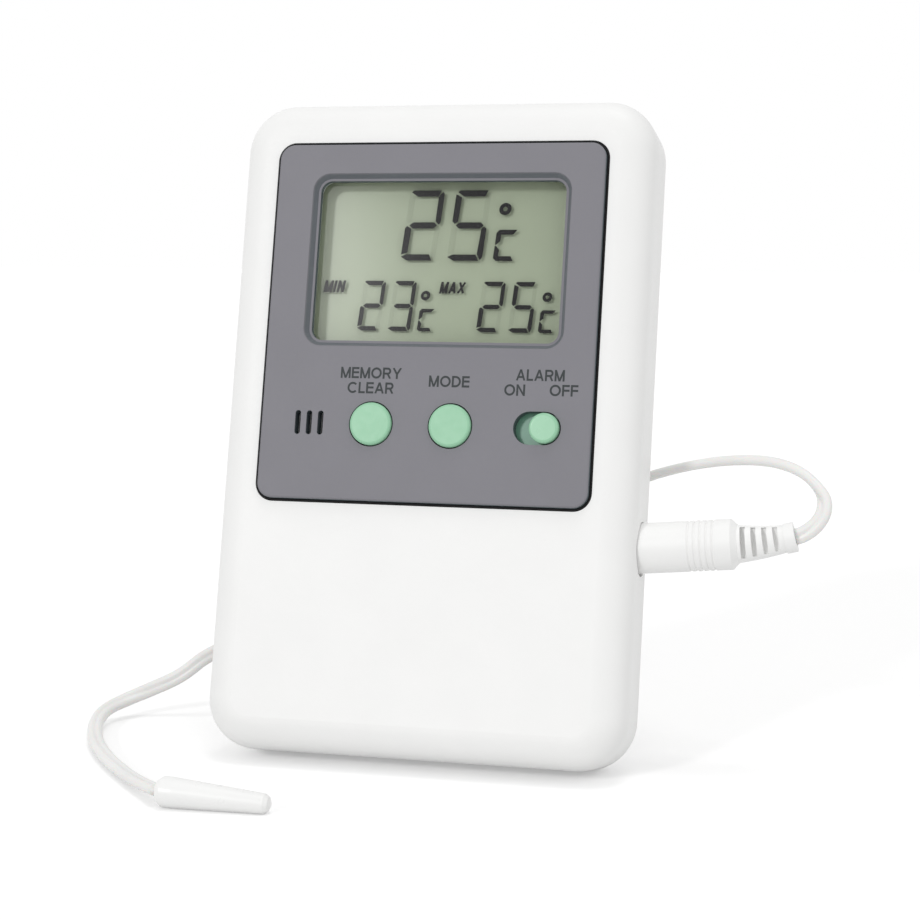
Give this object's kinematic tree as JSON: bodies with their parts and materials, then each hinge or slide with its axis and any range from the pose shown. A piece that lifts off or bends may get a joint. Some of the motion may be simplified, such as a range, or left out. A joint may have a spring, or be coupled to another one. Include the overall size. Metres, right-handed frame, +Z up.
{
  "type": "maximum minimum thermometer",
  "caption": "White digital maximum minimum thermometer leaning on a fold-out foot, with grey panel, display, green keys, alarm slide switch and a plug-in probe on a long flat lead.",
  "frame": {"origin": "centre of the footprint of the case and its foot, without the lead, on the surface it stands on", "axes": "+Z up; -Y towards the reader, the way the display faces; +X to the reader's right, the side of the jack"},
  "size_m": [0.1269, 0.1414, 0.1068],
  "materials": {
    "case_white": "fine satin moulding",
    "panel_grey": "fine satin moulding",
    "key_green": "smooth moulding",
    "display_glass": "clear glass over a green-grey reflector",
    "display_reflector": "green-grey reflective sheet",
    "inner_plastic": "plain moulding",
    "board_green": "solder mask over glass-fibre board",
    "rubber_strip": "soft rubber",
    "plated_steel": "nickel plated",
    "brass": "plain",
    "ceramic": "silvered ceramic",
    "battery_jacket": null,
    "cord_white": "soft white PVC",
    "tie_white": "soft plastic tie",
    "screw_steel": "zinc plated"
  },
  "bodies": {
    "case": {"front_case": "case_white", "rear_case": "case_white", "bezel_panel": "panel_grey", "lcd_front_glass": "display_glass", "lcd_rear_glass": "display_glass", "lcd_reflector": "display_reflector", "lcd_holder": "inner_plastic", "zebra_connector": "rubber_strip", "circuit_board": "board_green", "controller_chip": "inner_plastic", "timing_crystal": "plated_steel", "memory_clear_switch": "plated_steel", "mode_switch": "plated_steel", "alarm_switch": "plated_steel", "sounder_disc": "brass", "sounder_ceramic": "ceramic", "battery_cell": "battery_jacket", "battery_minus_plate": "plated_steel", "battery_plus_plate": "plated_steel", "battery_spring": "plated_steel", "case_screws": "screw_steel", "jack_socket": "inner_plastic"},
    "memory_clear_key": {"memory_clear_button": "key_green", "memory_clear_plunger": "inner_plastic"},
    "mode_key": {"mode_button": "key_green", "mode_plunger": "inner_plastic"},
    "alarm_slide": {"alarm_slider": "key_green", "alarm_switch_lever": "inner_plastic"},
    "foot": {"fold_out_foot": "case_white"},
    "door": {"battery_door": "case_white"},
    "probe_lead": {"plug_sleeve": "plated_steel", "plug_insulator": "inner_plastic", "plug_tip": "plated_steel", "plug_grip": "cord_white", "strain_relief": "cord_white", "cord_plug_side": "cord_white", "cord_coil": "cord_white", "coil_tie": "tie_white", "cord_probe_side": "cord_white", "temperature_probe": "cord_white"}
  },
  "joints": [
    {"name": "memory_clear_press", "type": "slide", "parent": "case", "child": "memory_clear_key", "axis": [0, 0.9712, -0.2384], "range_m": [0, 0.0003], "stiffness_N_per_m": 2500, "springref_m": -0.0002},
    {"name": "mode_press", "type": "slide", "parent": "case", "child": "mode_key", "axis": [0, 0.9712, -0.2384], "range_m": [0, 0.0003], "stiffness_N_per_m": 2500, "springref_m": -0.0002},
    {"name": "alarm_slide_on", "type": "slide", "parent": "case", "child": "alarm_slide", "axis": [-1, 0, 0], "range_m": [0, 0.0024]},
    {"name": "foot_fold", "type": "hinge", "parent": "case", "child": "foot", "pos_m": [0, -0.00499, 0.00586], "axis": [1, 0, 0], "range_deg": [0, 87]},
    {"name": "battery_door_off", "type": "slide", "parent": "case", "child": "door", "axis": [0, 0.9712, -0.2384], "range_m": [0, 0.012]},
    {"name": "plug_out", "type": "slide", "parent": "case", "child": "probe_lead", "axis": [0.9962, 0.0208, 0.0846], "range_m": [0, 0.0125]}
  ]
}
